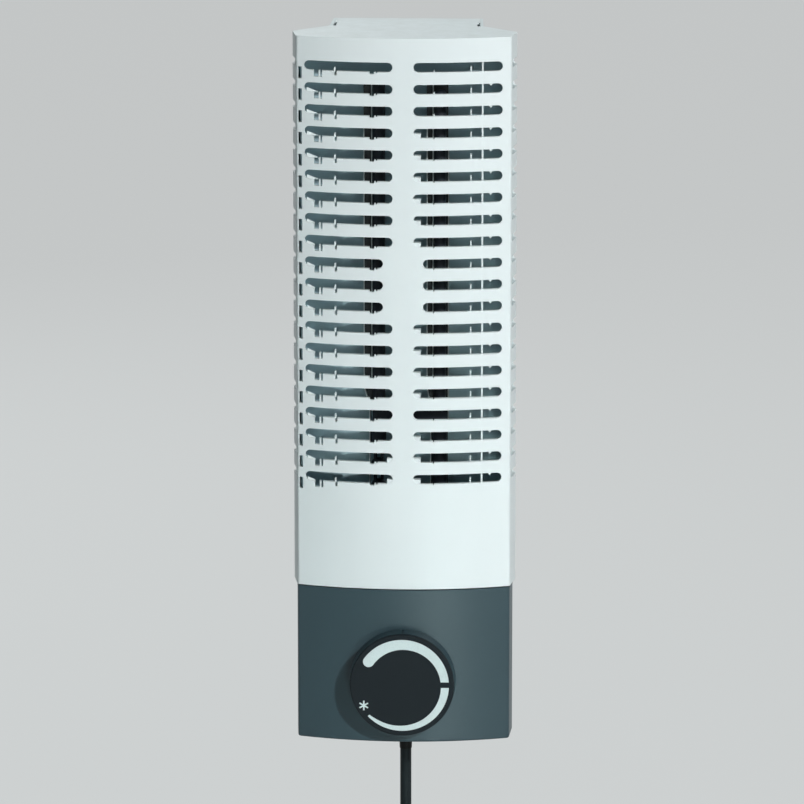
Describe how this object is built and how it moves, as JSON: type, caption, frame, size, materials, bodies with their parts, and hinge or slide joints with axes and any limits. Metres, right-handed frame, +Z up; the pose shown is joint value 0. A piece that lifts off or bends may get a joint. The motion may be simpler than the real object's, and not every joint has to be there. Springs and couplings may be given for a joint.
{
  "type": "frost-guard heater",
  "caption": "Slim upright wall-hung convector heater: white louvred cover over black heating rods, dark lower panel with a thermostat knob, mains lead with plug.",
  "frame": {"origin": "on the wall plane behind the heater, on its centre line, at half the housing's height", "axes": "+Z up, +Y into the wall (the front faces -Y), +X to the right seen from the front"},
  "size_m": [0.1246, 0.0913, 0.6554],
  "materials": {
    "cover_white": "moulded, satin, cool white",
    "panel_grey": "moulded, smooth satin, dark blue grey",
    "knob_grey": "moulded, smooth satin, near black",
    "print_pale": "printed, flat",
    "casing_white": "powder coated, fine texture",
    "zinc_steel": "zinc plated sheet",
    "screw_steel": "zinc plated",
    "reflector_grey": "heat-resistant paint, satin",
    "rod_black": "black oxide, satin",
    "ceramic_dark": "glazed ceramic, dark",
    "ceramic_white": "steatite ceramic, unglazed",
    "switch_cream": "moulded, heat resistant",
    "brass": "machined",
    "copper_alloy": "rolled strip",
    "magnet_black": "ground",
    "wire_brown": "extruded, smooth",
    "wire_blue": "extruded, smooth",
    "wire_white": "extruded silicone",
    "cord_black": "extruded, satin",
    "tie_black": "extruded strip",
    "nickel": "nickel plated"
  },
  "bodies": {
    "root": {"front_cover": "cover_white", "control_panel": "panel_grey", "dial_collar": "panel_grey", "rear_casing": "casing_white", "wall_bracket": "zinc_steel", "bracket_lock_screw": "screw_steel", "cover_screws": "screw_steel", "panel_side_screws": "screw_steel", "panel_floor_screws": "screw_steel", "chassis_screws": "screw_steel", "reflector": "reflector_grey", "control_chassis": "zinc_steel", "heating_rod_left": "rod_black", "heating_rod_right": "rod_black", "rod_sleeves": "rod_black", "rod_cradle_left": "rod_black", "rod_cradle_right": "rod_black", "rod_spacers": "zinc_steel", "rod_top_strap": "reflector_grey", "rod_strap": "rod_black", "strap_standoff": "rod_black", "strap_screw": "rod_black", "insulator_beads": "ceramic_dark", "shelf_bushes": "ceramic_white", "limiter_body": "switch_cream", "limiter_clip": "zinc_steel", "limiter_tabs": "brass", "thermostat_box": "switch_cream", "lever_pin": "screw_steel", "contact_spring": "copper_alloy", "snap_magnet": "magnet_black", "thermostat_tabs": "brass", "thermostat_screws": "screw_steel", "terminal_block": "switch_cream", "terminal_screws": "brass", "cord_clamp": "switch_cream", "clamp_screws": "screw_steel", "cord_gland": "cord_black", "cord_inner": "cord_black", "core_live": "wire_brown", "core_neutral": "wire_blue", "lead_live": "wire_brown", "lead_switched": "wire_white", "lead_limited": "wire_white", "lead_link": "wire_white", "lead_neutral": "wire_blue", "cord": "cord_black", "cord_hank": "cord_black", "hank_tie": "tie_black", "plug_body": "cord_black", "plug_pins": "nickel"},
    "dial": {"thermostat_knob": "knob_grey", "knob_scale": "print_pale", "knob_frost_mark": "print_pale", "knob_clip": "screw_steel", "thermostat_spindle": "brass", "thermostat_cam": "switch_cream"},
    "lever": {"thermostat_lever": "switch_cream", "bimetal_strip": "copper_alloy"}
  },
  "joints": [
    {"name": "dial_turn", "type": "hinge", "parent": "root", "child": "dial", "pos_m": [0, -0.08, -0.164], "axis": [0, -1, 0], "range_deg": [-54, 241]},
    {"name": "lever_swing", "type": "hinge", "parent": "root", "child": "lever", "pos_m": [-0.014, -0.07, -0.17315], "axis": [0, 1, 0], "range_deg": [-2.3, 10.1]}
  ],
  "couplings": [
    {"joint": "lever_swing", "follows": "dial_turn", "ratio": 0.0416}
  ]
}
